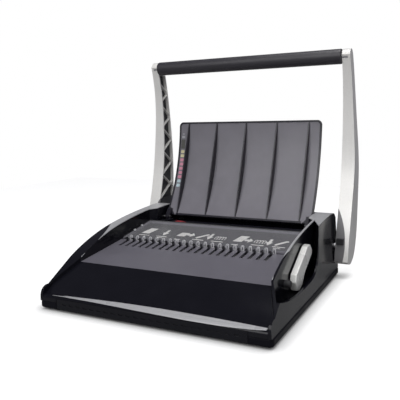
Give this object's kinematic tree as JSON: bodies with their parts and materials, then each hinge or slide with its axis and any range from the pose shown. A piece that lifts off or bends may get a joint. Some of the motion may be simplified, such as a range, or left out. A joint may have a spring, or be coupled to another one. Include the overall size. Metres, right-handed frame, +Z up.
{
  "type": "comb binding machine",
  "caption": "Manual desktop punch and plastic-comb binding machine with swinging punch handle, ribbed document support, comb lever and chip drawer.",
  "frame": {"origin": "on the table, under the centre of the whole machine's bounding box with the handle up", "axes": "+Z up, +X to the operator's right, the operator stands at -Y and faces +Y"},
  "size_m": [0.4476, 0.4512, 0.4314],
  "materials": {
    "case_gloss": "high gloss",
    "case_matt": "fine matt grain",
    "deck_grey": "satin",
    "silver_plastic": "silver paint, satin",
    "arm_silver": "warm silver paint, satin",
    "hub_grey": "satin",
    "liner_dark": "matt",
    "lever_silver": "silver paint",
    "lid_grey": "satin",
    "lid_dark": "satin",
    "label": "printed film",
    "clear_plastic": "clear, glossy",
    "foam": "soft foam sleeve",
    "rubber": "matt",
    "steel": "ground",
    "dark_steel": "blackened",
    "acetal": "natural acetal",
    "chrome": "plated",
    "bronze": "sintered"
  },
  "bodies": {
    "body": {"base_tray": "case_matt", "rubber_feet": "rubber", "case_screws": "steel", "left_side_cover": "case_gloss", "right_side_cover": "case_gloss", "front_fascia": "case_gloss", "rear_cover": "case_gloss", "front_stripe": "silver_plastic", "left_top_trim": "silver_plastic", "right_top_trim": "silver_plastic", "lever_bumper": "rubber", "comb_deck": "deck_grey", "upper_deck": "deck_grey", "instruction_label": "label", "clear_guard": "clear_plastic", "guard_screws": "chrome", "comb_rake": "chrome", "die_plate": "steel", "punch_guide": "steel", "paper_stop": "steel", "throat_guide": "case_matt", "throat_front": "case_matt", "guide_rods": "steel", "left_frame": "steel", "right_frame": "steel", "shaft_bushes": "bronze", "lever_bushes": "bronze", "frame_tie": "steel", "return_springs": "steel", "lid_hinge_pins": "steel"},
    "handle": {"left_arm": "arm_silver", "right_arm": "arm_silver", "left_hub_cover": "hub_grey", "right_hub_cover": "hub_grey", "left_arm_liner": "liner_dark", "right_arm_liner": "liner_dark", "left_arm_truss": "arm_silver", "right_arm_truss": "arm_silver", "hub_blocks": "rubber", "cross_shaft": "steel", "drive_pinions": "steel", "grip_tube": "steel", "foam_grip": "foam"},
    "punch": {"punch_carrier": "steel", "punches": "steel", "drive_racks": "steel"},
    "lever": {"lever_arm": "lever_silver", "lever_shaft": "steel", "lever_pinions": "acetal"},
    "opener": {"opener_racks": "acetal", "opener_bar": "dark_steel", "opener_hooks": "dark_steel"},
    "lid": {"lid_rim": "lid_dark", "comb_size_guide": "lid_grey", "lid_panel": "lid_grey", "lid_ribs": "lid_dark", "lid_hinge_arms": "lid_dark"},
    "drawer": {"chip_drawer": "case_matt", "drawer_front": "case_gloss"},
    "guide": {"edge_guide": "case_matt"}
  },
  "joints": [
    {"name": "handle_swing", "type": "hinge", "parent": "body", "child": "handle", "pos_m": [0, 0.1495, 0.062], "axis": [1, 0, 0], "range_deg": [0, 90]},
    {"name": "punch_slide", "type": "slide", "parent": "body", "child": "punch", "axis": [0, -1, 0], "range_m": [0, 0.012], "deforming": ["return_springs"]},
    {"name": "lid_swing", "type": "hinge", "parent": "body", "child": "lid", "pos_m": [0, 0.1155, 0.102], "axis": [1, 0, 0], "range_deg": [0, 109]},
    {"name": "lever_swing", "type": "hinge", "parent": "body", "child": "lever", "pos_m": [0, -0.0615, 0.046], "axis": [1, 0, 0], "range_deg": [0, 90]},
    {"name": "opener_slide", "type": "slide", "parent": "body", "child": "opener", "axis": [0, -1, 0], "range_m": [0, 0.016]},
    {"name": "drawer_slide", "type": "slide", "parent": "body", "child": "drawer", "axis": [0, -1, 0], "range_m": [0, 0.2]},
    {"name": "edge_guide_slide", "type": "slide", "parent": "body", "child": "guide", "axis": [1, 0, 0], "range_m": [0, 0.018]}
  ],
  "couplings": [
    {"joint": "punch_slide", "follows": "handle_swing", "m_per_rad": 0.0075},
    {"joint": "opener_slide", "follows": "lever_swing", "m_per_rad": 0.01}
  ]
}
